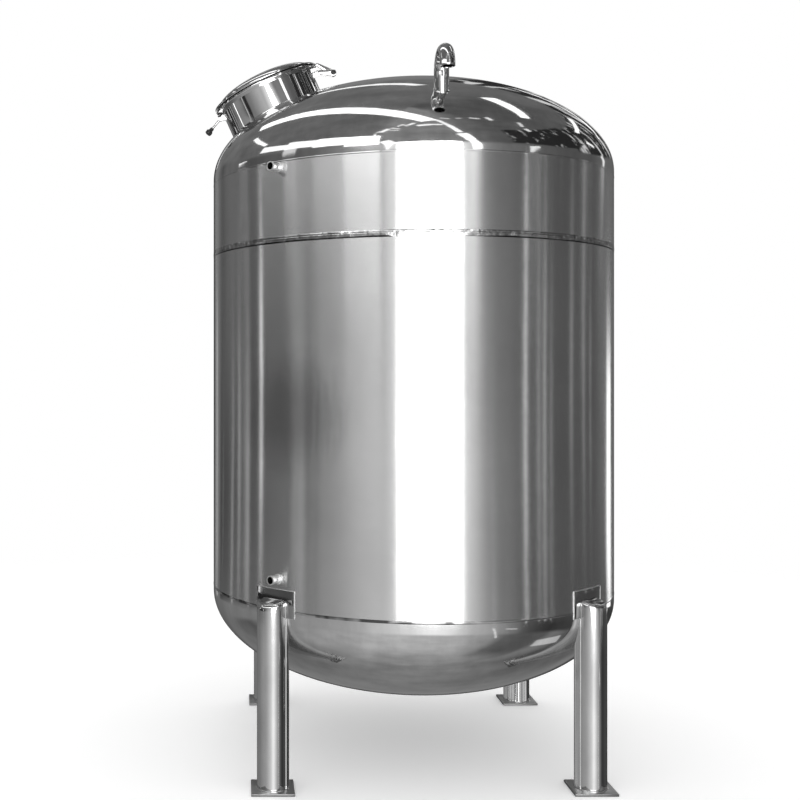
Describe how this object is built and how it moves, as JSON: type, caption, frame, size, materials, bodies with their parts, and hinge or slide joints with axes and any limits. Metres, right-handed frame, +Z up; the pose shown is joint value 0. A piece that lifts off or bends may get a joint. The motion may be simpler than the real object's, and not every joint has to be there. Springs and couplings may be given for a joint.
{
  "type": "vertical storage tank",
  "caption": "Upright round stainless tank with dished heads on pipe legs, with a hinged manway on the top head and a gooseneck vent.",
  "frame": {"origin": "on the floor under the tank's vertical axis", "axes": "+Z up; -Y is the front, the side with the vent; +X is to the right seen from the front, so the manway is at -X"},
  "size_m": [1.8372, 1.8029, 3.1119],
  "materials": {
    "satin_steel": "satin stainless steel, grain around the shell",
    "polished_steel": "mirror-polished stainless steel",
    "dark_steel": "dark oxide",
    "black_rubber": "matt",
    "black_plastic": "matt"
  },
  "bodies": {
    "tank": {"lower_course_front_left": "satin_steel", "lower_course_front_right": "satin_steel", "lower_course_rear_right": "satin_steel", "lower_course_rear_left": "satin_steel", "upper_course_front_left": "satin_steel", "upper_course_front_right": "satin_steel", "upper_course_rear_right": "satin_steel", "upper_course_rear_left": "satin_steel", "top_head": "polished_steel", "bottom_head": "polished_steel", "upper_socket": "polished_steel", "lower_socket": "polished_steel", "vent_gooseneck": "polished_steel", "manway_neck": "polished_steel", "manway_rim": "polished_steel", "manway_gasket": "black_rubber", "hinge_ear_front": "polished_steel", "hinge_ear_rear": "polished_steel", "hinge_pin": "dark_steel", "bolt_ear_front": "polished_steel", "bolt_ear_rear": "polished_steel", "bolt_pin": "polished_steel", "leg_pad_front_left": "polished_steel", "leg_front_left": "polished_steel", "leg_cap_front_left": "polished_steel", "foot_plate_front_left": "polished_steel", "leg_pad_front_right": "polished_steel", "leg_front_right": "polished_steel", "leg_cap_front_right": "polished_steel", "foot_plate_front_right": "polished_steel", "leg_pad_rear_left": "polished_steel", "leg_rear_left": "polished_steel", "leg_cap_rear_left": "polished_steel", "foot_plate_rear_left": "polished_steel", "leg_pad_rear_right": "polished_steel", "leg_rear_right": "polished_steel", "leg_cap_rear_right": "polished_steel", "foot_plate_rear_right": "polished_steel"},
    "cover": {"manway_cover": "polished_steel", "hinge_arm": "polished_steel"},
    "swing_bolt": {"swing_bolt": "polished_steel", "swing_bolt_knob": "black_plastic"}
  },
  "joints": [
    {"name": "manway_cover_hinge", "type": "hinge", "parent": "tank", "child": "cover", "pos_m": [-0.3495, 0, 3.0663], "axis": [0, 1, 0], "range_deg": [0, 110]},
    {"name": "swing_bolt_pivot", "type": "hinge", "parent": "tank", "child": "swing_bolt", "pos_m": [-0.8685, 0, 2.855], "axis": [0, 1, 0], "range_deg": [0, 116]}
  ]
}
